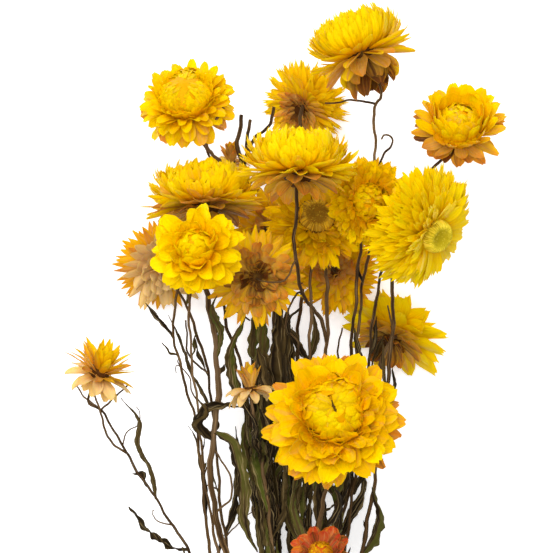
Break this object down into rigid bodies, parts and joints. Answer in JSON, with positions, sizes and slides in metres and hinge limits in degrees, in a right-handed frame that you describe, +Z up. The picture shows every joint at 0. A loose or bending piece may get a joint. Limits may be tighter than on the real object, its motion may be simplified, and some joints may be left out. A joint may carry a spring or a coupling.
{
  "type": "dried strawflower bunch",
  "caption": "Bunch of dried strawflowers lying down: papery yellow, orange and rust blooms on thin brown stems with curled dry leaves, tied with twine.",
  "frame": {"origin": "middle of the bunch's outline, on the surface that it lies on", "axes": "+Y along the stems towards the blooms, +X across the bunch, +Z up from the surface"},
  "size_m": [0.1768, 0.4056, 0.1284],
  "materials": {
    "bloom_yellow": "dry papery bracts with a soft sheen, golden yellow, tan on the outermost rows",
    "bloom_orange": "dry papery bracts with a soft sheen, orange to tan",
    "bloom_rust": "dry papery bracts with a soft sheen, red-orange with a yellow middle",
    "disc": "matt packed dry florets, khaki yellow",
    "stem": "dry ribbed bark and wrinkled leaves, dark brown to olive",
    "twine": "rough plied plant fibre"
  },
  "bodies": {
    "root": {"head_a": "bloom_yellow", "head_b": "bloom_orange", "head_c": "bloom_yellow", "head_d": "bloom_yellow", "head_e": "bloom_yellow", "head_f": "bloom_yellow", "head_g": "bloom_yellow", "head_h": "bloom_yellow", "disc_h": "disc", "head_i": "bloom_yellow", "disc_i": "disc", "head_j": "bloom_yellow", "head_k": "bloom_orange", "head_l": "bloom_yellow", "head_m": "bloom_orange", "head_n": "bloom_orange", "head_o": "bloom_yellow", "head_p": "bloom_yellow", "head_q": "bloom_orange", "head_r": "bloom_orange", "head_s": "bloom_rust", "head_t": "bloom_orange", "stem_q": "stem", "stem_e": "stem", "stem_a": "stem", "stem_m": "stem", "stem_g": "stem", "stem_r": "stem", "stem_t": "stem", "stem_s": "stem", "stem_p": "stem", "stem_n": "stem", "stem_j": "stem", "stem_h": "stem", "stem_c": "stem", "stem_d": "stem", "stem_o": "stem", "stem_i": "stem", "stem_k": "stem", "stem_b": "stem", "twine": "twine"}
  },
  "joints": []
}
